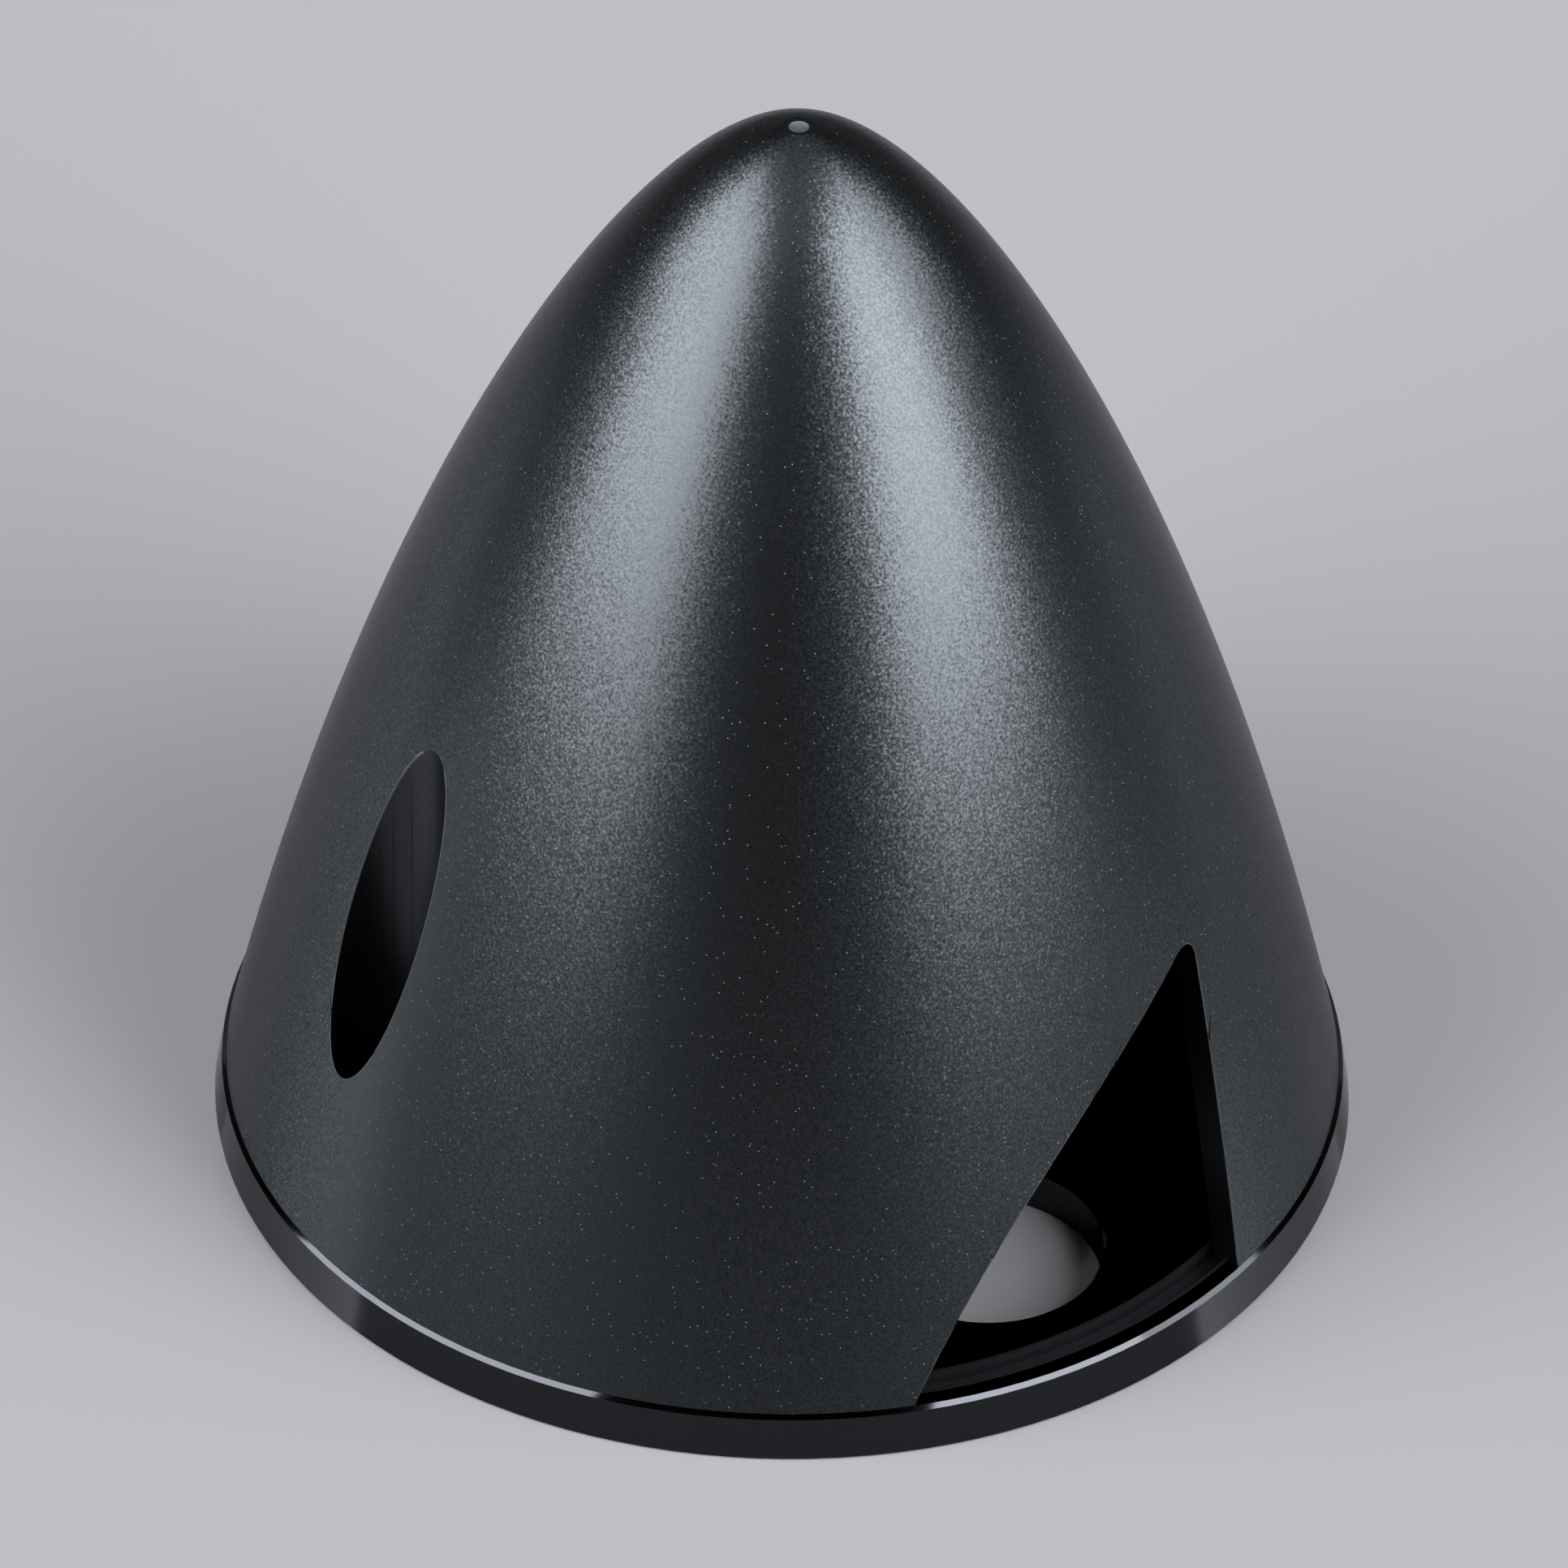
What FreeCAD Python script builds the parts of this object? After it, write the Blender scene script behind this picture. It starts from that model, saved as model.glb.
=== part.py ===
"""Two-blade propeller spinner: a hollow turned cone on a back plate, held by two cap screws.

Millimetres, +Z along the engine shaft and out of the nose. The origin is on the shaft axis, in the
rear face of the back plate. The blades leave along +X and -X, and the screws sit at -Y and +Y.
"""
import FreeCAD, Part
import math
import os
from FreeCAD import Vector

# ---- back plate: a turned disc, clamped between the engine's drive hub and the propeller ----
spinner_d = 57.0          # over the rear edge of the rim
plate_t = 2.4             # thickness, rear face to seat face
rim_taper = 0.4           # how far the rim closes in, on the radius, from rear to front
rim_chamfer = 0.2         # bright-cut edge round the front of the rim
rear_edge_break = 0.1     # deburred rear edge
shaft_bore_d = 8.0        # propeller shaft
bore_chamfer = 0.3        # at the rear face
bore_lead_in = 0.8        # wide chamfer at the front face, so the shaft finds the hole
blade_count = 2
light_hole_d = 11.7       # one lightening hole in line with each blade
light_hole_web = 1.9      # metal left between a lightening hole and the register groove
hole_edge_break = 0.15

# ---- register: a tongue round the foot of the cone drops into a groove in the plate ----
seat_margin = 0.02        # bare ring between the rim chamfer and the foot of the cone
foot_land_w = 0.95        # outer part of the cone's foot, which lies on the plate
register_h = 0.6          # how far the tongue reaches down into the groove
register_side_gap = 0.05  # tongue to groove, each side
register_end_gap = 0.15   # tongue to groove floor

# ---- cone: bored from the solid, one cubic curve from foot to nose ----
cone_h = 54.4
wall_t = 2.0              # at the foot
nose_t = 2.6              # solid metal left at the nose
foot_lean = 13.7          # degrees, slope of the wall at the foot, from the axis
side_fullness = 0.67      # how far up the height the curve holds that slope
nose_fullness = 0.233     # how blunt the nose is, as a share of the foot's radius
turned_stretches = 18     # tangent stretches that the outside is turned in
bored_tapers = 5          # straight tapers that the inside is bored in
centre_drill_d = 1.5      # lathe centre mark in the nose
centre_drill_depth = 0.35
centre_drill_angle = 118.0

# ---- blade cut-outs: upright on one side, a long arc on the other ----
cutout_w = 18.8
cutout_h = 17.5           # height of the upright side above the cone's foot
cutout_arc_r = 41.5
cutout_corner_r = 0.9

# ---- screw lugs inside the cone, each with a pocket for the head ----
screw_count = 2
screw_inset = 5.2         # screw axis in from the outside of the cone's foot
pocket_d = 5.7
lug_wall = 1.4            # metal round the pocket
lug_floor_t = 4.0         # metal under the screw's head
screw_hole_d = 3.4

# ---- M3 socket head cap screws ----
screw_d = 3.0
thread_gap = 0.02         # screw to tapped hole, on the radius
screw_end_gap = 0.4       # how far the screw ends short of the plate's rear face
head_d = 5.5
head_h = 3.0
head_edge_break = 0.3
under_head_fillet = 0.1
screw_point_chamfer = 0.3
socket_af = 2.5           # hexagon, across flats
socket_depth = 1.5
socket_point_angle = 120.0

# ---- sizes that follow from those above ----
through = 1.0             # how far a cutting tool runs past a face
foot_r = spinner_d / 2 - rim_taper - rim_chamfer - seat_margin
foot_inner_r = foot_r - wall_t
tongue_outer_r = foot_r - foot_land_w
groove_outer_r = tongue_outer_r + register_side_gap
groove_inner_r = foot_inner_r - register_side_gap
groove_depth = register_h + register_end_gap
light_hole_pitch_r = groove_inner_r - light_hole_web - light_hole_d / 2
screw_pitch_r = foot_r - screw_inset
lug_r = pocket_d / 2 + lug_wall
screw_seat_z = plate_t + lug_floor_t
screw_length = lug_floor_t + plate_t - screw_end_gap
nose_z = plate_t + cone_h

Z_AXIS = Vector(0, 0, 1)
ORIGIN = Vector(0, 0, 0)


def line(r1, z1, r2, z2):
    """Straight edge in the XZ half-plane, given as radius and height."""
    return Part.makeLine(Vector(r1, 0, z1), Vector(r2, 0, z2))


def ring_of(points):
    """Solid turned about Z from a closed outline of (radius, height) corners."""
    corners = [Vector(r, 0, z) for r, z in points]
    outline = Part.makePolygon(corners + corners[:1])
    return Part.Face(outline).revolve(ORIGIN, Z_AXIS, 360)


def hole(radius, z_low, z_high, x=0.0, y=0.0):
    """Plain drilled hole, as the solid to cut away."""
    return Part.makeCylinder(radius, z_high - z_low, Vector(x, y, z_low))


def flared_hole(radius, z_low, z_high, flare_low, flare_high, x=0.0, y=0.0):
    """Through hole with a 45 degree chamfer of its own width at each face."""
    tool = hole(radius, z_low - through, z_high + through, x, y)
    lower = Part.makeCone(radius + flare_low, radius, flare_low, Vector(x, y, z_low))
    upper = Part.makeCone(radius, radius + flare_high, flare_high, Vector(x, y, z_high - flare_high))
    return tool.fuse([lower, upper])


def around(shape, count, start_angle):
    """`count` copies of a shape that was built on the +X side, evenly spaced about Z."""
    copies = []
    for k in range(count):
        copy = shape.copy()
        copy.rotate(ORIGIN, Z_AXIS, start_angle + 360.0 * k / count)
        copies.append(copy)
    return copies


def nose_curve(base_r, base_z, height):
    """Cubic curve in the XZ half-plane: it leaves the foot at the lean and meets the axis square."""
    side = side_fullness * height
    curve = Part.BezierCurve()
    curve.setPoles([
        Vector(base_r, 0, base_z),
        Vector(base_r - side * math.tan(math.radians(foot_lean)), 0, base_z + side),
        Vector(nose_fullness * base_r, 0, base_z + height),
        Vector(0, 0, base_z + height),
    ])
    return curve


def outside_form():
    """Solid inside the outer nose curve."""
    stretches = []
    for k in range(turned_stretches):
        stretch = nose_curve(foot_r, plate_t, cone_h)
        stretch.segment(k / turned_stretches, (k + 1) / turned_stretches)
        stretches.append(stretch.toShape())
    foot = line(0, plate_t, foot_r, plate_t)
    axis = line(0, nose_z, 0, plate_t)
    return Part.Face(Part.Wire([foot] + stretches + [axis])).revolve(ORIGIN, Z_AXIS, 360)


def bored_form():
    """Solid to bore away: straight tapers whose corners lie on a smaller nose curve."""
    curve = nose_curve(foot_inner_r, plate_t, cone_h - nose_t)
    corners = [curve.value(k / bored_tapers) for k in range(bored_tapers + 1)]
    return ring_of([(0, plate_t)] + [(p.x, p.z) for p in corners])


def centre_drill():
    """Mark of the centre drill: a short parallel bore with a pointed floor."""
    r = centre_drill_d / 2
    floor_z = nose_z - centre_drill_depth
    point = r / math.tan(math.radians(centre_drill_angle / 2))
    return ring_of([(0, floor_z - point), (r, floor_z), (r, nose_z + through), (0, nose_z + through)])


def blade_cutout():
    """Prism along +X that opens one blade's slot, from below the foot up to the rounded corner."""
    half = cutout_w / 2
    foot = Vector(0, -half, plate_t)
    top = Vector(0, half, plate_t + cutout_h)
    chord = top - foot
    rise = cutout_arc_r - math.sqrt(cutout_arc_r ** 2 - (chord.Length / 2) ** 2)
    outward = Vector(0, -chord.z, chord.y).normalize()
    crown = foot + chord * 0.5 + outward * rise
    below = plate_t - register_h - through
    outline = Part.Wire([
        Part.Arc(foot, crown, top).toShape(),
        Part.makeLine(top, Vector(0, half, below)),
        Part.makeLine(Vector(0, half, below), Vector(0, -half, below)),
        Part.makeLine(Vector(0, -half, below), foot),
    ])
    prism = Part.Face(outline).extrude(Vector(foot_r + through, 0, 0))
    corner = [e for e in prism.Edges
              if (e.CenterOfMass - Vector(e.CenterOfMass.x, top.y, top.z)).Length < cutout_corner_r / 10]
    return prism.makeFillet(cutout_corner_r, corner)


def make_cone():
    """Hollow nose with its register tongue, two screw lugs, two blade cut-outs and head pockets."""
    outside = outside_form()
    hollow = bored_form()
    lug = hole(lug_r, plate_t, nose_z, x=screw_pitch_r)
    hollow = hollow.cut(around(lug, screw_count, 90))
    tongue = ring_of([(foot_inner_r, plate_t + wall_t / 2), (foot_inner_r, plate_t - register_h),
                      (tongue_outer_r, plate_t - register_h), (tongue_outer_r, plate_t + wall_t / 2)])
    body = outside.cut(hollow)
    body = body.fuse(tongue.cut(hollow))
    pocket = hole(pocket_d / 2, screw_seat_z, nose_z + through, x=screw_pitch_r)
    screw_hole = hole(screw_hole_d / 2, plate_t - register_h - through, screw_seat_z + through,
                      x=screw_pitch_r)
    body = body.cut(around(pocket, screw_count, 90) + around(screw_hole, screw_count, 90))
    body = body.cut(around(blade_cutout(), blade_count, 0))
    body = body.cut(centre_drill())
    return body.removeSplitter()


def make_back_plate():
    """Turned disc with a tapered rim, the register groove, shaft bore, lightening and tapped holes."""
    rear_r = spinner_d / 2
    front_r = rear_r - rim_taper
    disc = ring_of([(0, 0), (rear_r - rear_edge_break, 0), (rear_r, rear_edge_break),
                    (front_r, plate_t - rim_chamfer), (front_r - rim_chamfer, plate_t), (0, plate_t)])
    groove = ring_of([(groove_inner_r, plate_t - groove_depth), (groove_outer_r, plate_t - groove_depth),
                      (groove_outer_r, plate_t + through), (groove_inner_r, plate_t + through)])
    shaft_bore = flared_hole(shaft_bore_d / 2, 0, plate_t, bore_chamfer, bore_lead_in)
    light_hole = flared_hole(light_hole_d / 2, 0, plate_t, hole_edge_break, hole_edge_break,
                             x=light_hole_pitch_r)
    tapped_hole = flared_hole(screw_d / 2 + thread_gap, 0, plate_t, hole_edge_break, hole_edge_break,
                              x=screw_pitch_r)
    cuts = [groove, shaft_bore] + around(light_hole, blade_count, 0)
    cuts += around(tapped_hole, screw_count, 90)
    return disc.cut(cuts).removeSplitter()


def hexagon(across_flats, z_low, z_high):
    """Upright hexagonal prism about Z, with flats facing +Y and -Y."""
    corner_r = across_flats / math.sqrt(3)
    corners = [Vector(corner_r * math.cos(math.radians(60 * k)),
                      corner_r * math.sin(math.radians(60 * k)), z_low) for k in range(7)]
    return Part.Face(Part.makePolygon(corners)).extrude(Vector(0, 0, z_high - z_low))


def make_cap_screw():
    """Socket head cap screw at the +X side: it stands in its pocket, with its head on the lug floor."""
    head_z = screw_seat_z + head_h
    tip_z = screw_seat_z - screw_length
    head_r = head_d / 2
    shank_r = screw_d / 2
    screw = ring_of([
        (0, tip_z), (shank_r - screw_point_chamfer, tip_z), (shank_r, tip_z + screw_point_chamfer),
        (shank_r, screw_seat_z - under_head_fillet), (shank_r + under_head_fillet, screw_seat_z),
        (head_r, screw_seat_z), (head_r, head_z - head_edge_break), (head_r - head_edge_break, head_z),
        (0, head_z)])
    floor_z = head_z - socket_depth
    socket = hexagon(socket_af, floor_z, head_z + through)
    drill_r = socket_af / 2
    point = drill_r / math.tan(math.radians(socket_point_angle / 2))
    drilled_floor = Part.makeCone(0, drill_r, point, Vector(0, 0, floor_z - point))
    screw = screw.cut([socket, drilled_floor])
    screw.translate(Vector(screw_pitch_r, 0, 0))
    return screw


def main():
    parts = {"cone": make_cone(), "back_plate": make_back_plate()}
    front_screw, rear_screw = around(make_cap_screw(), screw_count, -90)
    parts["cap_screw_a"] = front_screw
    parts["cap_screw_b"] = rear_screw
    os.makedirs("parts", exist_ok=True)
    for name, shape in parts.items():
        shape.exportStep("parts/" + name + ".step")
        print(name, "solids", len(shape.Solids), "valid", shape.isValid(), "mm3", round(shape.Volume, 1))


main()
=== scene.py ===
import bmesh, bpy, math
from mathutils import Matrix, Vector


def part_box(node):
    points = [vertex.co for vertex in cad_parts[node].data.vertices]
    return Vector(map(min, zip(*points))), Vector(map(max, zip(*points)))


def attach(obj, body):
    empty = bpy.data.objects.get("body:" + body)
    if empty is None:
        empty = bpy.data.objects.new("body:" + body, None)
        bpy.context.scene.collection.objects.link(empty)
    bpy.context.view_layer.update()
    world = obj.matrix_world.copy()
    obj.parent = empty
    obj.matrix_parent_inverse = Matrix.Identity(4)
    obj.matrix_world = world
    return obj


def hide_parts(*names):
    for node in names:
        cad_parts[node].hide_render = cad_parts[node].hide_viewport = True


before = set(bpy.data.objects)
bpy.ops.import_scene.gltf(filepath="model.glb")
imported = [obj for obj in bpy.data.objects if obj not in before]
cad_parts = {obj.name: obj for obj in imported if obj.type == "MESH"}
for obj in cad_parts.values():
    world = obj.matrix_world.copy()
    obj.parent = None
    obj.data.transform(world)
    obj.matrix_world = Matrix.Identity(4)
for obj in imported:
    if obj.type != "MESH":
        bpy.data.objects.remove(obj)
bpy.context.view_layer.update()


# ---- back plate ----------------------------------------------------------------------------------
# A disc turned from aluminium bar and black anodised over its fine turned finish. It is clamped
# between the drive hub and the propeller and carries the cone. Its CAD mesh serves as it is.

def linear(hex_colour):
    """Linear RGBA from an sRGB hex colour."""
    channels = [int(hex_colour[i:i + 2], 16) / 255 for i in (1, 3, 5)]
    return [c / 12.92 if c <= 0.04045 else ((c + 0.055) / 1.055) ** 2.4 for c in channels] + [1]


def add(tree, kind, settings=(), links=()):
    """Adds a node to a node tree, sets its sockets or properties and links its inputs."""
    node = tree.nodes.new(kind)
    for name, value in dict(settings).items():
        if isinstance(name, int) or name in node.inputs:
            node.inputs[name].default_value = value
        else:
            setattr(node, name, value)
    for socket, source in dict(links).items():
        tree.links.new(source, node.inputs[socket])
    return node


def new_material(name):
    """An empty material and its shader: (material, node tree, Principled node)."""
    material = bpy.data.materials.new(name)
    material.use_nodes = True
    tree = material.node_tree
    return material, tree, tree.nodes["Principled BSDF"]


MM = 0.001                     # sizes are in millimetres, and this makes them metres
GROOVE_R = 26.4                # middle of the groove that takes the cone's tongue
GROOVE_HALF_WIDTH = 0.75
TURNED_ROUGHNESS = 0.07
GROOVE_ROUGHNESS = 0.5

# A dark mirror: the lamps show in its rim and chamfer as clear patches. Only the groove, cut with
# a narrow tool, scatters them.
plate_metal, tree, shader = new_material("turned_black_anodised_aluminium")
shader.inputs["Base Color"].default_value = linear("#3d3e40")
shader.inputs["Metallic"].default_value = 1.0
shader.inputs["Specular Tint"].default_value = linear("#c8c8c8")
where = add(tree, "ShaderNodeTexCoord").outputs
level = add(tree, "ShaderNodeVectorMath", {"operation": "MULTIPLY", 1: (1, 1, 0)}, {0: where["Object"]})
radius = add(tree, "ShaderNodeVectorMath", {"operation": "LENGTH"}, {0: level.outputs[0]})
offset = add(tree, "ShaderNodeMath", {"operation": "SUBTRACT", 1: GROOVE_R * MM},
             {0: radius.outputs["Value"]})
distance = add(tree, "ShaderNodeMath", {"operation": "ABSOLUTE"}, {0: offset.outputs[0]})
in_groove = add(tree, "ShaderNodeMath", {"operation": "LESS_THAN", 1: GROOVE_HALF_WIDTH * MM},
                {0: distance.outputs[0]})
roughness = add(tree, "ShaderNodeMapRange", {"To Min": TURNED_ROUGHNESS, "To Max": GROOVE_ROUGHNESS},
                {"Value": in_groove.outputs[0]})
tree.links.new(roughness.outputs[0], shader.inputs["Roughness"])
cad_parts["back_plate"].data.materials.clear()
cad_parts["back_plate"].data.materials.append(plate_metal)

# ---- cone ----------------------------------------------------------------------------------------
# The nose, turned and bored from one aluminium bar, with two lugs left inside for its screws, two
# slots milled for the blades and a tongue that drops into the plate's groove. It is bead blasted
# outside, then black anodised, and two cap screws hold it down.
PLATE_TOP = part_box("back_plate")[1].z / MM
FOOT_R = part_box("cone")[1].y / MM
TONGUE_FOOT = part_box("cone")[0].z / MM
CONE_H = 54.65
WALL = 2.0                     # metal at the foot
NOSE_METAL = 2.6               # metal at the tip
FOOT_LEAN = 13.7               # degrees, the wall's slope at the foot
SIDE_FULLNESS = 0.667          # share of the height that the side's slope is carried up
NOSE_FULLNESS = 0.23           # share of the foot's radius that the tip's flat is carried out
FOOT_LAND = 0.95               # outer part of the foot, flat on the plate
OUTSIDE_STEPS = 110            # pieces in the outside's curve
INSIDE_STEPS = 48              # pieces in the bore's curve
LATHE_STEPS = 240
TOUCH = 0.001 * MM             # points as near as this are one point


def edit(obj):
    """Has a mesh in edit mode with nothing selected, and gives its bmesh."""
    if bpy.context.mode != "EDIT_MESH":
        bpy.ops.object.select_all(action="DESELECT")
        bpy.context.view_layer.objects.active = obj
        obj.select_set(True)
        bpy.ops.object.mode_set(mode="EDIT")
    bpy.ops.mesh.select_all(action="DESELECT")
    return bmesh.from_edit_mesh(obj.data)


def nose_line(name, base_r, height, steps):
    """The nose's outline as a path of edges from the foot to the tip, in the XZ plane."""
    side = SIDE_FULLNESS * height
    corners = [(base_r, 0), (base_r - side * math.tan(math.radians(FOOT_LEAN)), side),
               (NOSE_FULLNESS * base_r, height), (0, height)]
    corners = [Vector((r, 0, PLATE_TOP + z)) * MM for r, z in corners]
    bpy.ops.object.select_all(action="DESELECT")
    bpy.ops.curve.primitive_bezier_curve_add(location=(0, 0, 0))
    line = bpy.context.object
    line.name = name
    foot, tip = line.data.splines[0].bezier_points
    for end in (foot, tip):
        end.handle_left_type = end.handle_right_type = "FREE"
    foot.co, foot.handle_right, tip.handle_left, tip.co = corners
    line.data.resolution_u = steps
    bpy.ops.object.convert(target="MESH")
    return bpy.context.object


def turn(line, foot_r, corners):
    """Carries a path on from its foot through (radius, height) corners to the axis, and lathes it."""
    mesh = edit(line)
    for vert in mesh.verts:
        vert.select = abs(vert.co.x - foot_r * MM) < TOUCH and vert.co.z < PLATE_TOP * MM + TOUCH
    mesh.select_flush(True)
    bmesh.update_edit_mesh(line.data)
    at = (foot_r, PLATE_TOP)
    for corner in corners:
        step = Vector((corner[0] - at[0], 0, corner[1] - at[1])) * MM
        bpy.ops.mesh.extrude_region_move(TRANSFORM_OT_translate={"value": step})
        at = corner
    bpy.ops.mesh.select_all(action="SELECT")
    bpy.ops.mesh.spin(steps=LATHE_STEPS, angle=2 * math.pi, center=(0, 0, 0), axis=(0, 0, 1))
    bpy.ops.mesh.select_all(action="SELECT")
    bpy.ops.mesh.remove_doubles(threshold=TOUCH)
    bpy.ops.mesh.normals_make_consistent(inside=False)
    bpy.ops.object.mode_set(mode="OBJECT")
    return line


def carve(target, tool, operation="DIFFERENCE"):
    """Cuts a closed mesh with another, joins or overlaps the two, and takes the tool away."""
    cut = target.modifiers.new("carve", "BOOLEAN")
    cut.operation = operation
    cut.object = tool
    cut.solver = "EXACT"
    cut.material_mode = "TRANSFER"
    bpy.ops.object.select_all(action="DESELECT")
    bpy.context.view_layer.objects.active = target
    target.select_set(True)
    bpy.ops.object.modifier_apply(modifier=cut.name)
    bpy.data.objects.remove(tool)


def rod(radius, low, high, y=0.0, sides=96, finish=None):
    """Upright round bar between two heights, in millimetres."""
    bpy.ops.object.select_all(action="DESELECT")
    bpy.ops.mesh.primitive_cylinder_add(vertices=sides, radius=radius * MM, depth=(high - low) * MM,
                                        location=(0, y * MM, (low + high) / 2 * MM))
    bpy.ops.object.transform_apply(location=True, rotation=True, scale=True)
    bar = bpy.context.object
    if finish:
        bar.data.materials.append(finish)
    return bar


# The blasted skin is dark and half glossy, under a thin sealed film that shines at a grazing view.
# Its dents tilt every way and break the light up into grain. Here and there a small lighter, rougher
# spot is painted in as a glint, a painted highlight for a dent that mirrors a lamp. Both are drawn
# coarser than real dents, which would be too fine to show.
GRAIN = 0.13                   # width of a dent
TILT = 0.36                    # how far a dent turns the surface
PAINTED_GLINT_CELL = 0.3               # spacing of the places where a painted glint may lie
PAINTED_GLINT_R = 0.12                 # radius of a painted glint, as a share of the spacing
PAINTED_GLINT_BAR = 0.55               # a place's random shade has to pass this to have its painted glint
SKIN_ROUGHNESS = 0.32
PAINTED_GLINT_ROUGHNESS = 0.75
COLOUR_A, COLOUR_B, COLOUR_RESULT = 6, 7, 2    # a Mix node's sockets for colours

blasted_metal, tree, shader = new_material("bead_blasted_black_anodised_aluminium")
shader.inputs["Metallic"].default_value = 1.0
shader.inputs["Specular Tint"].default_value = linear("#a4a4a4")
shader.inputs["Coat Weight"].default_value = 0.45
shader.inputs["Coat Roughness"].default_value = 0.28
shader.inputs["Coat IOR"].default_value = 1.2
where = add(tree, "ShaderNodeTexCoord").outputs
dents = add(tree, "ShaderNodeTexNoise", {"Scale": 1 / (GRAIN * MM), "Detail": 1.0, "Roughness": 0.6},
            {"Vector": where["Object"]})
lean = add(tree, "ShaderNodeVectorMath", {"operation": "SUBTRACT", 1: (0.5, 0.5, 0.5)},
           {0: dents.outputs["Color"]})
tilted = add(tree, "ShaderNodeVectorMath", {"operation": "MULTIPLY_ADD", 1: (TILT, TILT, TILT)},
             {0: lean.outputs[0], 2: where["Normal"]})
facet = add(tree, "ShaderNodeVectorMath", {"operation": "NORMALIZE"}, {0: tilted.outputs[0]})
# Painted glints: sparse small spots of lighter, rougher colour that stand in for dents mirroring a lamp.
cells = add(tree, "ShaderNodeTexVoronoi", {"Scale": 1 / (PAINTED_GLINT_CELL * MM)}, {"Vector": where["Object"]})
near = add(tree, "ShaderNodeMath", {"operation": "LESS_THAN", 1: PAINTED_GLINT_R}, {0: cells.outputs["Distance"]})
few = add(tree, "ShaderNodeMath", {"operation": "GREATER_THAN", 1: PAINTED_GLINT_BAR}, {0: cells.outputs["Color"]})
painted_glint = add(tree, "ShaderNodeMath", {"operation": "MULTIPLY"}, {0: near.outputs[0], 1: few.outputs[0]})
shade = add(tree, "ShaderNodeMapRange", {"From Min": 0.35, "From Max": 0.65}, {"Value": dents.outputs["Fac"]})
skin = add(tree, "ShaderNodeMix",
           {"data_type": "RGBA", COLOUR_A: linear("#383c3c"), COLOUR_B: linear("#46494b")},
           {0: shade.outputs[0]})
colour = add(tree, "ShaderNodeMix", {"data_type": "RGBA", COLOUR_B: linear("#74787a")},
             {0: painted_glint.outputs[0], COLOUR_A: skin.outputs[COLOUR_RESULT]})
roughness = add(tree, "ShaderNodeMapRange", {"To Min": SKIN_ROUGHNESS, "To Max": PAINTED_GLINT_ROUGHNESS},
                {"Value": painted_glint.outputs[0]})
tree.links.new(colour.outputs[COLOUR_RESULT], shader.inputs["Base Color"])
tree.links.new(roughness.outputs[0], shader.inputs["Roughness"])
tree.links.new(facet.outputs[0], shader.inputs["Normal"])

# Where a tool has cut last, in the bore, pockets and slots, the same black is smoother. The
# deburred edges round them are rubbed a little lighter, and their colour is painted lighter still as
# a painted highlight, so they show as a bright hairline.
machined_metal, tree, shader = new_material("bored_and_milled_black_anodised_aluminium")
shader.inputs["Base Color"].default_value = linear("#3e4042")
shader.inputs["Metallic"].default_value = 1.0
shader.inputs["Roughness"].default_value = 0.4
shader.inputs["Specular Tint"].default_value = linear("#8c8c8c")
rubbed_and_highlight_edge_metal, tree, shader = new_material("rubbed_edge_of_black_anodised_aluminium")
shader.inputs["Base Color"].default_value = linear("#5e6063")
shader.inputs["Metallic"].default_value = 1.0
shader.inputs["Roughness"].default_value = 0.3

# The bottom of the centre mark is painted a lighter grey, a painted highlight for the bright spot
# that its pit mirrors from above, and shows as one dull grey spot.
painted_highlight_mark_metal, tree, shader = new_material("painted_highlight_grey_of_centre_mark")
shader.inputs["Base Color"].default_value = linear("#6a7074")
shader.inputs["Metallic"].default_value = 1.0
shader.inputs["Roughness"].default_value = 0.6

# The shell is lathed solid, and then the bore is cut out of it. The face under the foot and the
# tongue are machined, and all the rest of the outside is blasted.
BLASTED, MACHINED, RUBBED_AND_PAINTED_HIGHLIGHT = 0, 1, 2            # the cone's material slots
inner_r = FOOT_R - WALL
tongue_r = FOOT_R - FOOT_LAND
cone = turn(nose_line("cone_shell", FOOT_R, CONE_H, OUTSIDE_STEPS), FOOT_R,
            [(tongue_r, PLATE_TOP), (tongue_r, TONGUE_FOOT), (0, TONGUE_FOOT)])
cone.data.materials.append(blasted_metal)
cone.data.materials.append(machined_metal)
cone.data.materials.append(rubbed_and_highlight_edge_metal)
for face in cone.data.polygons:
    face.material_index = MACHINED if face.center.z < PLATE_TOP * MM + TOUCH else BLASTED
hollow = turn(nose_line("hollow", inner_r, CONE_H - NOSE_METAL, INSIDE_STEPS), inner_r,
              [(inner_r, TONGUE_FOOT - 1), (0, TONGUE_FOOT - 1)])
hollow.data.materials.append(machined_metal)

# Two lugs are left standing in the bore. Each has a screw hole, and over it a pocket that comes
# down through the wall for the screw's head.
SCREW_INSET = 5.2              # from the foot's edge to the screw's axis
POCKET_R = 2.85
LUG_R = POCKET_R + 1.4
SCREW_SEAT = PLATE_TOP + 4.0   # floor of the pocket
SCREW_HOLE_R = 1.7
ABOVE_ALL = 60                 # a height past the tip

screw_y = FOOT_R - SCREW_INSET
for side in (-1, 1):
    carve(hollow, rod(LUG_R, PLATE_TOP, ABOVE_ALL, y=side * screw_y, finish=machined_metal))
carve(cone, hollow)
for side in (-1, 1):
    carve(cone, rod(POCKET_R, SCREW_SEAT, ABOVE_ALL, y=side * screw_y, finish=machined_metal))
    carve(cone, rod(SCREW_HOLE_R, 0, SCREW_SEAT + 1, y=side * screw_y, sides=64, finish=machined_metal))

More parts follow.
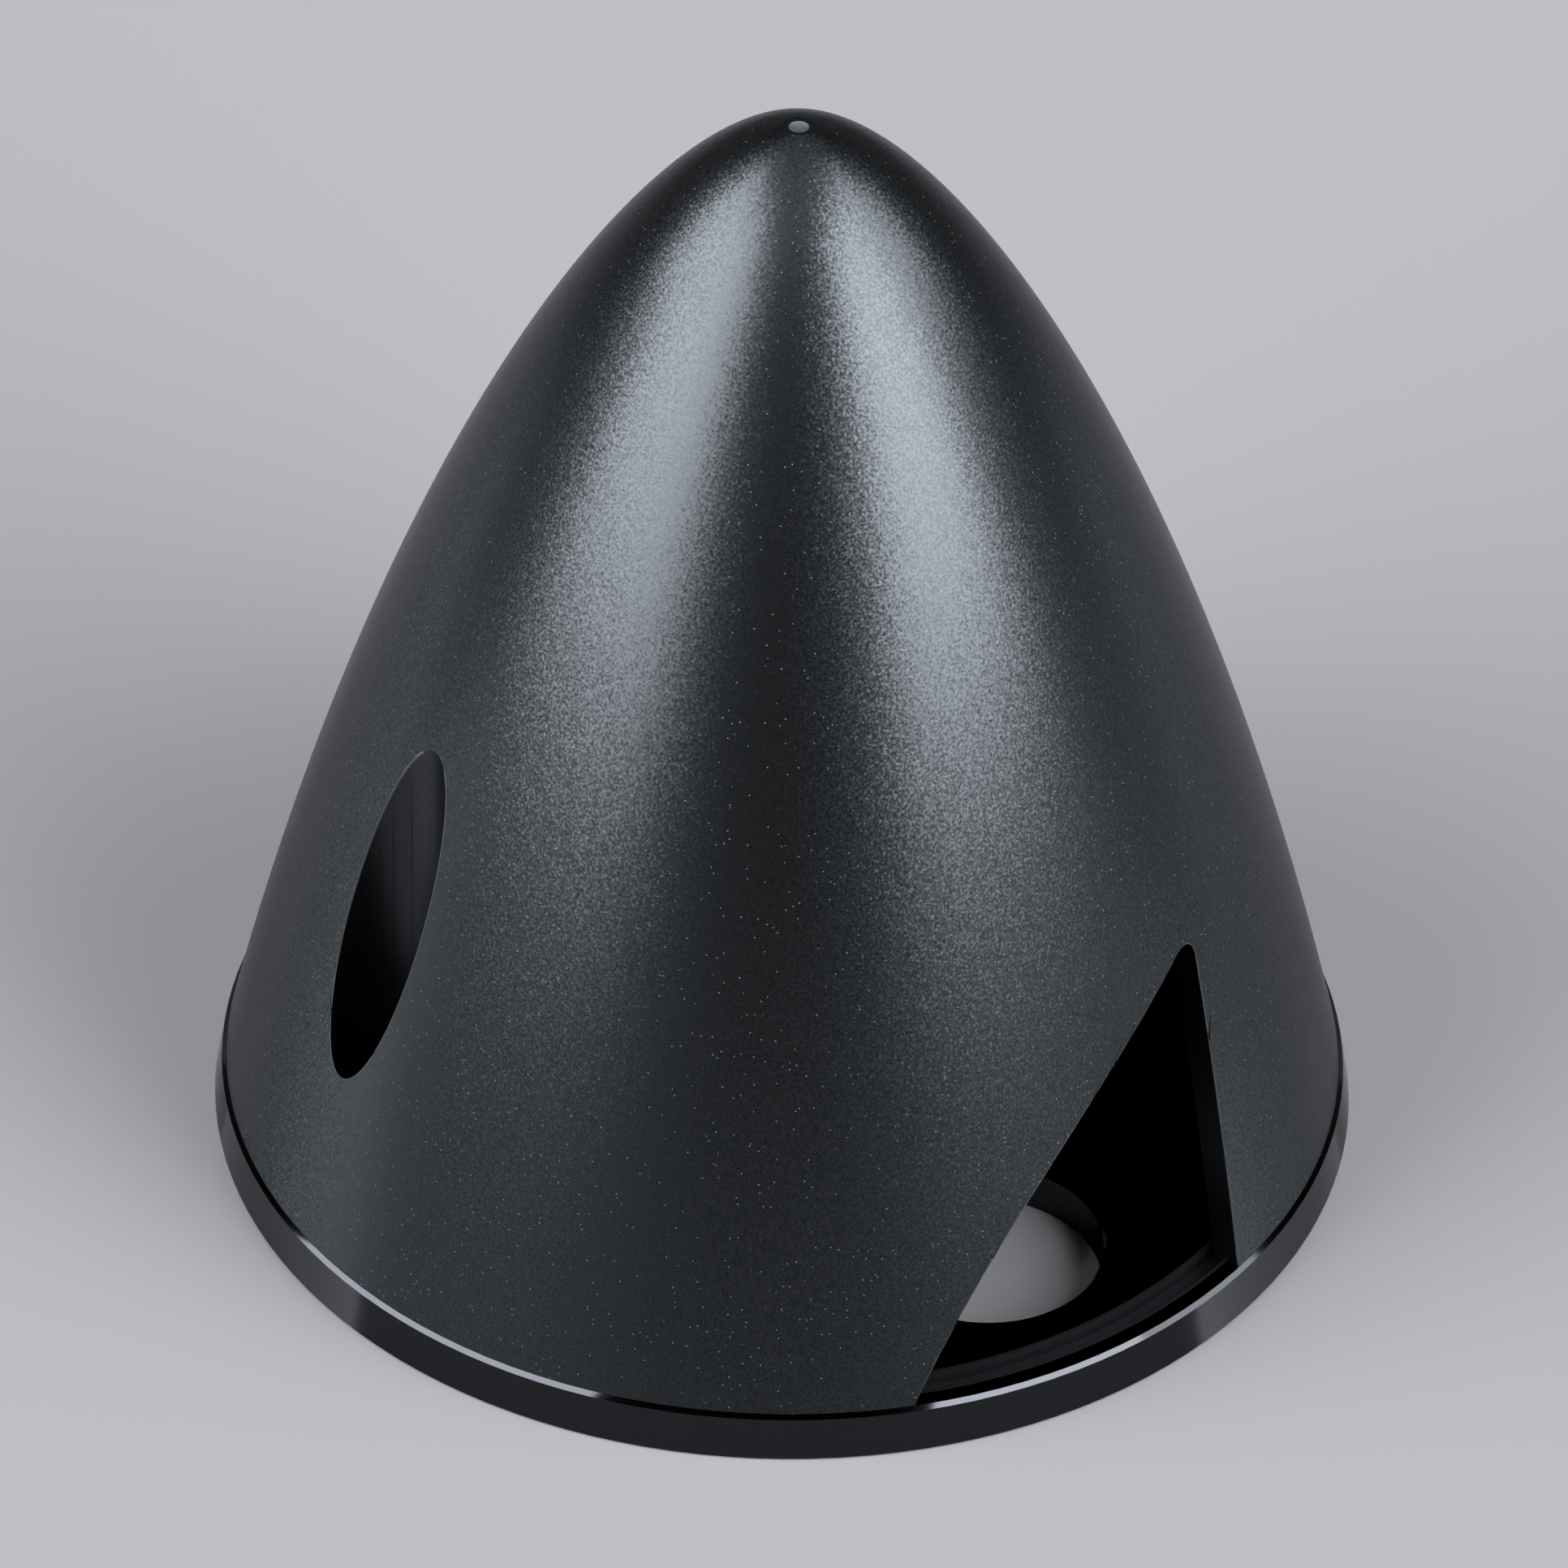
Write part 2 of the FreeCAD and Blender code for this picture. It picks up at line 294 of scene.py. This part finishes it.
# Each blade leaves through a slot with one upright side and one long curved side, which meet in a
# small round at the top.
CUTOUT_W = 18.8
CUTOUT_H = 17.5
CUTOUT_ARC_R = 41.5            # radius of the curved side
CUTOUT_CORNER_SET = 1.41       # bevel that gives a round of 0.9 mm radius at the top corner
CUTTER_THICKNESS = 30          # enough to pass through one wall from the axis


def blade_cutout(side):
    """The milled shape of one blade's slot: a thick disc, trimmed to the slot's sides and foot."""
    half = CUTOUT_W / 2
    low, top = Vector((-half, PLATE_TOP)), Vector((half, PLATE_TOP + CUTOUT_H))
    chord = top - low
    reach = math.sqrt(CUTOUT_ARC_R ** 2 - (chord.length / 2) ** 2)
    centre = (low + top) / 2 + Vector((chord.y, -chord.x)).normalized() * reach
    middle = (side * CUTTER_THICKNESS / 2, side * centre.x, centre.y)
    bpy.ops.object.select_all(action="DESELECT")
    bpy.ops.mesh.primitive_cylinder_add(vertices=120, radius=CUTOUT_ARC_R * MM,
                                        depth=CUTTER_THICKNESS * MM, location=Vector(middle) * MM,
                                        rotation=(0, math.pi / 2, 0))
    bpy.ops.object.transform_apply(location=True, rotation=True, scale=True)
    tool = bpy.context.object
    tool.data.materials.append(machined_metal)
    edit(tool)
    for at, outward in (((0, half, 0), (0, 1, 0)), ((0, -half, 0), (0, -1, 0)),
                        ((0, 0, TONGUE_FOOT - 1), (0, 0, -1))):
        bpy.ops.mesh.select_all(action="SELECT")
        bpy.ops.mesh.bisect(plane_co=Vector(at) * MM, plane_no=outward, use_fill=True, clear_outer=True)
    mesh = edit(tool)
    for edge in mesh.edges:
        edge.select = all(abs(vert.co.y * side - half * MM) < TOUCH and vert.co.z > (PLATE_TOP + 5) * MM
                          for vert in edge.verts)
    mesh.select_flush(True)
    bmesh.update_edit_mesh(tool.data)
    bpy.ops.mesh.bevel(offset=CUTOUT_CORNER_SET * MM, segments=12, profile=0.5)
    bpy.ops.mesh.select_all(action="SELECT")
    bpy.ops.mesh.normals_make_consistent(inside=False)
    bpy.ops.object.mode_set(mode="OBJECT")
    return tool


for side in (-1, 1):
    carve(cone, blade_cutout(side))

# The lathe's centre leaves a shallow round mark in the tip, with a pointed bottom.
CENTRE_MARK_R = 0.75
CENTRE_MARK_DEPTH = 0.12
CENTRE_MARK_RING = 0.27        # width of the flat ring round the point
CENTRE_MARK_POINT = 0.25       # depth of the point below the ring

nose_z = PLATE_TOP + CONE_H
mark = rod(CENTRE_MARK_R, nose_z - CENTRE_MARK_DEPTH, nose_z + 1, sides=48, finish=machined_metal)
mark.data.materials.append(painted_highlight_mark_metal)
mesh = edit(mark)
for face in mesh.faces:
    face.select = face.normal.z < -0.9
bmesh.update_edit_mesh(mark.data)
bpy.ops.mesh.inset(thickness=CENTRE_MARK_RING * MM)
bpy.ops.mesh.extrude_region_move(TRANSFORM_OT_translate={"value": (0, 0, -CENTRE_MARK_POINT * MM)})
bpy.ops.mesh.merge(type="CENTER")
bpy.ops.object.mode_set(mode="OBJECT")
# The pointed bottom takes the painted highlight grey, and the wall takes the machined black.
MARK_WALL, MARK_POINT = 0, 1                   # the mark's material slots
for face in mark.data.polygons:
    face.material_index = MARK_POINT if face.center.z < (nose_z - CENTRE_MARK_DEPTH - 0.01) * MM else MARK_WALL
carve(cone, mark)

# The mouths of the pockets and slots are deburred, but not the edges that lie on the plate. The
# edges to break are those where blasted skin meets a machined face.
EDGE_BREAK = 0.07
PLATE_MARGIN = 0.02
SMOOTH_UNDER = 12              # degrees; the facets of one face meet at less, its edges at more

edit(cone)
bpy.ops.mesh.select_all(action="SELECT")
bpy.ops.mesh.remove_doubles(threshold=0.004 * MM)
mesh = edit(cone)
for edge in mesh.edges:
    materials = {face.material_index for face in edge.link_faces}
    edge.select = (len(materials) == 2 and edge.calc_face_angle(0) > 0.5
                   and all((PLATE_TOP + PLATE_MARGIN) * MM < vert.co.z < nose_z / 2 * MM
                           for vert in edge.verts))
bmesh.update_edit_mesh(cone.data)
# The break's faces take the rubbed edge colour, which is partly a painted highlight.
bpy.ops.mesh.bevel(offset=EDGE_BREAK * MM, segments=2, profile=0.5, material=RUBBED_AND_PAINTED_HIGHLIGHT, clamp_overlap=False)
bpy.ops.object.mode_set(mode="OBJECT")
bpy.ops.object.shade_smooth_by_angle(angle=math.radians(SMOOTH_UNDER))
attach(cone, "root")
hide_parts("cone")

# ---- cap screws ----------------------------------------------------------------------------------
# Two M3 socket cap screws hold the cone down on the back plate. Each is cold headed, with a knurled
# head, a hexagon socket and a thread rolled to the tip, and is left black by a hot oxide bath.
HEAD_R = 2.75
HEAD_TOP = SCREW_SEAT + 3.0
TOP_CHAMFER = 0.3
SEAT_CHAMFER = 0.15
KNURL_TEETH = 48
KNURL_DEPTH = 0.09
SOCKET_AF = 2.5                # across flats
SOCKET_DEPTH = 1.5
SOCKET_POINT = 0.7             # cone left by the punch below the socket
THREAD_R = 1.5
THREAD_PITCH = 0.5
THREAD_DEPTH = 0.307
THREAD_FLAT = 0.06             # width of the crest, and of the root
THREAD_TURNS = 16
THREAD_OVERLAP = 0.2           # how far the thread runs on into the head
TIP_CHAMFER = 0.35
SCREW_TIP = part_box("cap_screw_a")[0].z / MM

# Black oxide: a dark steel that still shows soft highlights.
oxide_steel, tree, shader = new_material("black_oxide_steel")
shader.inputs["Base Color"].default_value = linear("#38383a")
shader.inputs["Metallic"].default_value = 1.0
shader.inputs["Roughness"].default_value = 0.3

head = rod(HEAD_R, SCREW_SEAT + SEAT_CHAMFER, HEAD_TOP - TOP_CHAMFER, sides=2 * KNURL_TEETH)
for up, chamfer in ((1, TOP_CHAMFER), (-1, SEAT_CHAMFER)):
    mesh = edit(head)
    for face in mesh.faces:
        face.select = face.normal.z * up > 0.9
    bmesh.update_edit_mesh(head.data)
    bpy.ops.mesh.extrude_region_move(TRANSFORM_OT_translate={"value": (0, 0, up * chamfer * MM)})
    narrowed = (HEAD_R - chamfer) / HEAD_R
    bpy.ops.transform.resize(value=(narrowed, narrowed, 1), center_override=(0, 0, 0))
mesh = edit(head)
for vert in mesh.verts:
    corner = round(math.atan2(vert.co.y, vert.co.x) / (math.pi / KNURL_TEETH))
    vert.select = vert.co.xy.length > (HEAD_R - 0.01) * MM and corner % 2 == 1
bmesh.update_edit_mesh(head.data)
valley = 1 - KNURL_DEPTH / HEAD_R
bpy.ops.transform.resize(value=(valley, valley, 1), center_override=(0, 0, 0))
bpy.ops.object.mode_set(mode="OBJECT")

socket = rod(SOCKET_AF / 2 / math.cos(math.pi / 6), HEAD_TOP - SOCKET_DEPTH, HEAD_TOP + 1, sides=6)
mesh = edit(socket)
for face in mesh.faces:
    face.select = face.normal.z < -0.9
bmesh.update_edit_mesh(socket.data)
bpy.ops.mesh.extrude_region_move(TRANSFORM_OT_translate={"value": (0, 0, -SOCKET_POINT * MM)})
bpy.ops.mesh.merge(type="CENTER")
bpy.ops.object.mode_set(mode="OBJECT")
carve(head, socket)

# The socket's mouth is countersunk over its six corners.
MOUTH_LOW_R = 1.22
MOUTH_HIGH_R = 1.62
MOUTH_H = 0.4
bpy.ops.object.select_all(action="DESELECT")
bpy.ops.mesh.primitive_cone_add(vertices=48, radius1=MOUTH_LOW_R * MM, radius2=MOUTH_HIGH_R * MM,
                                depth=MOUTH_H * MM, location=(0, 0, (HEAD_TOP - MOUTH_H / 4) * MM))
bpy.ops.object.transform_apply(location=True, rotation=True, scale=True)
carve(head, bpy.context.object)

# The thread is one tooth's outline carried round the axis, then cut to the length of the shank.
bpy.ops.object.select_all(action="DESELECT")
bpy.ops.mesh.primitive_plane_add(size=0.1 * MM,
                                 location=(THREAD_R * MM, 0, (SCREW_TIP - 2 * THREAD_PITCH) * MM))
bpy.ops.object.transform_apply(location=True, rotation=True, scale=True)
thread = bpy.context.object
edit(thread)
bpy.ops.mesh.select_all(action="SELECT")
bpy.ops.mesh.merge(type="CENTER")
flank = THREAD_PITCH / 2 - THREAD_FLAT
for out, rise in ((0, THREAD_FLAT), (-THREAD_DEPTH, flank), (0, THREAD_FLAT), (THREAD_DEPTH, flank)):
    bpy.ops.mesh.extrude_region_move(TRANSFORM_OT_translate={"value": (out * MM, 0, rise * MM)})
bpy.ops.object.mode_set(mode="OBJECT")
coil = thread.modifiers.new("coil", "SCREW")
coil.axis = "Z"
coil.angle = 2 * math.pi
coil.screw_offset = THREAD_PITCH * MM
coil.iterations = THREAD_TURNS
coil.steps = coil.render_steps = 48
coil.use_merge_vertices = True
coil.merge_threshold = TOUCH
bpy.ops.object.modifier_apply(modifier=coil.name)
edit(thread)
for height, up in ((SCREW_TIP, -1), (SCREW_SEAT + THREAD_OVERLAP, 1)):
    bpy.ops.mesh.select_all(action="SELECT")
    bpy.ops.mesh.bisect(plane_co=(0, 0, height * MM), plane_no=(0, 0, up), use_fill=True, clear_outer=True)
bpy.ops.mesh.select_all(action="SELECT")
bpy.ops.mesh.remove_doubles(threshold=TOUCH)
bpy.ops.mesh.normals_make_consistent(inside=False)
bpy.ops.object.mode_set(mode="OBJECT")

# The blank that the thread is rolled on is chamfered at its tip, which trims the first turns.
blank = rod(THREAD_R, SCREW_TIP, SCREW_SEAT + THREAD_OVERLAP, sides=48)
mesh = edit(blank)
for edge in mesh.edges:
    edge.select = all(vert.co.z < (SCREW_TIP + 0.01) * MM for vert in edge.verts)
mesh.select_flush(True)
bmesh.update_edit_mesh(blank.data)
bpy.ops.mesh.bevel(offset=TIP_CHAMFER * MM, segments=1)
bpy.ops.object.mode_set(mode="OBJECT")
carve(thread, blank, "INTERSECT")
carve(head, thread, "UNION")
head.data.materials.clear()
head.data.materials.append(oxide_steel)
bpy.ops.object.shade_smooth_by_angle(angle=math.radians(25))

for node, side in (("cap_screw_a", -1), ("cap_screw_b", 1)):
    screw = head.copy()
    screw.data = head.data.copy()
    screw.name = screw.data.name = "m3_" + node
    bpy.context.scene.collection.objects.link(screw)
    edit(screw)
    bpy.ops.mesh.select_all(action="SELECT")
    bpy.ops.transform.translate(value=(0, side * screw_y * MM, 0))
    bpy.ops.object.mode_set(mode="OBJECT")
    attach(screw, "root")
    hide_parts(node)
bpy.data.objects.remove(head)

# ---- floor and backdrop --------------------------------------------------------------------------
# One sheet of pale grey laminate that lies flat under the spinner and sweeps up behind it. It is
# smooth enough to mirror the lamps faintly at a low angle.
CAMERA_AZIMUTH = -33.36        # degrees from +X to the side that the camera stands on
SHEET_SIZE = 8.0               # metres, as are the next three
SHEET_BACK = 1.6               # from the spinner to the backdrop
BACKDROP_H = 1.0
SWEEP = 0.6                    # how far from the corner the sheet starts to bend


def direction(azimuth, elevation):
    """Unit vector at an azimuth from +X and an elevation, in degrees."""
    a, e = math.radians(azimuth), math.radians(elevation)
    return Vector((math.cos(e) * math.cos(a), math.cos(e) * math.sin(a), math.sin(e)))


bpy.ops.object.select_all(action="DESELECT")
bpy.ops.mesh.primitive_plane_add(size=SHEET_SIZE, location=(0, 0, 0))
sheet = bpy.context.object
sheet.name = "laminate_sheet"
mesh = edit(sheet)
for edge in mesh.edges:
    edge.select = all(vert.co.y > 0 for vert in edge.verts)
bmesh.update_edit_mesh(sheet.data)
bpy.ops.transform.translate(value=(0, SHEET_BACK - SHEET_SIZE / 2, 0))
bpy.ops.mesh.extrude_region_move(TRANSFORM_OT_translate={"value": (0, 0, BACKDROP_H)})
mesh = edit(sheet)
for edge in mesh.edges:
    edge.select = all(vert.co.y > 0 and vert.co.z < TOUCH for vert in edge.verts)
bmesh.update_edit_mesh(sheet.data)
bpy.ops.mesh.bevel(offset=SWEEP, segments=16)
bpy.ops.object.mode_set(mode="OBJECT")
sheet.rotation_euler.z = math.radians(CAMERA_AZIMUTH + 90)
bpy.ops.object.transform_apply(location=False, rotation=True, scale=False)
bpy.ops.object.shade_smooth()
laminate, tree, shader = new_material("pale_grey_laminate")
shader.inputs["Base Color"].default_value = linear("#7e7e7e")
shader.inputs["Roughness"].default_value = 0.1
sheet.data.materials.append(laminate)

# ---- lamps ---------------------------------------------------------------------------------------
# Two upright soft boxes in front, one at each side and a weak one overhead, in a dark room. The
# spinner mirrors the front two as long bands with a dark band between, and the rest light its flanks.
LAMP_DISTANCE = 1.2            # metres, as are the ceiling box's size and height
LAMP_WHITE = linear("#f6f7ff")
CEILING_SIZE = 1.8
CEILING_H = 1.5
CEILING_RADIANCE = 0.6


def soft_box(name, swing, spread, low, high, radiance):
    """Upright soft box, `swing` degrees round from the camera and `spread` degrees wide as the
    spinner sees it, standing between two elevations."""
    bottom, top = (LAMP_DISTANCE * math.tan(math.radians(angle)) for angle in (low, high))
    width = 2 * LAMP_DISTANCE * math.tan(math.radians(spread / 2))
    data = bpy.data.lights.new(name, "AREA")
    data.shape = "RECTANGLE"
    data.size, data.size_y = width, top - bottom
    data.energy = radiance * math.pi * width * (top - bottom)
    data.color = LAMP_WHITE[:3]
    lamp = bpy.data.objects.new(name, data)
    bpy.context.scene.collection.objects.link(lamp)
    outward = direction(CAMERA_AZIMUTH + swing, 0)
    lamp.location = outward * LAMP_DISTANCE + Vector((0, 0, (top + bottom) / 2))
    lamp.rotation_euler = outward.to_track_quat("Z", "Y").to_euler()
    lamp.visible_camera = False


soft_box("soft_box_left", -61, 46, 7, 58, 8.0)
soft_box("soft_box_right", 54, 42, 7, 58, 10.0)
soft_box("side_box_left", -95, 22, 22, 62, 8.0)
soft_box("side_box_right", 90, 30, 22, 62, 5.5)
data = bpy.data.lights.new("ceiling_box", "AREA")
data.size = CEILING_SIZE
data.energy = CEILING_RADIANCE * math.pi * CEILING_SIZE ** 2
data.color = LAMP_WHITE[:3]
ceiling_box = bpy.data.objects.new("ceiling_box", data)
bpy.context.scene.collection.objects.link(ceiling_box)
ceiling_box.location = (0, 0, CEILING_H)
ceiling_box.visible_camera = False
world = bpy.data.worlds.new("dark_room")
world.use_nodes = True
world.node_tree.nodes["Background"].inputs["Color"].default_value = linear("#1c1c1e")
bpy.context.scene.world = world

# ---- camera --------------------------------------------------------------------------------------
# A long lens that looks down on the spinner at 38 degrees, rolled by one degree. It stands seven
# diameters away, so the spinner's sides converge only a little.
CAMERA_ELEVATION = 37.783
CAMERA_DISTANCE = 397.24
CAMERA_ROLL = 0.989
AIM = (-0.090, -0.137, 18.624)
LENS_LENGTH = 186.34
SENSOR_WIDTH = 36

lens = bpy.data.cameras.new("camera")
lens.sensor_width = SENSOR_WIDTH
lens.lens = LENS_LENGTH
camera = bpy.data.objects.new("camera", lens)
bpy.context.scene.collection.objects.link(camera)
away = direction(CAMERA_AZIMUTH, CAMERA_ELEVATION)
camera.matrix_world = (Matrix.Translation(Vector(AIM) * MM + away * CAMERA_DISTANCE * MM)
                       @ away.to_track_quat("Z", "Y").to_matrix().to_4x4()
                       @ Matrix.Rotation(math.radians(CAMERA_ROLL), 4, "Z"))
bpy.context.scene.camera = camera
bpy.context.scene.view_settings.view_transform = "Standard"
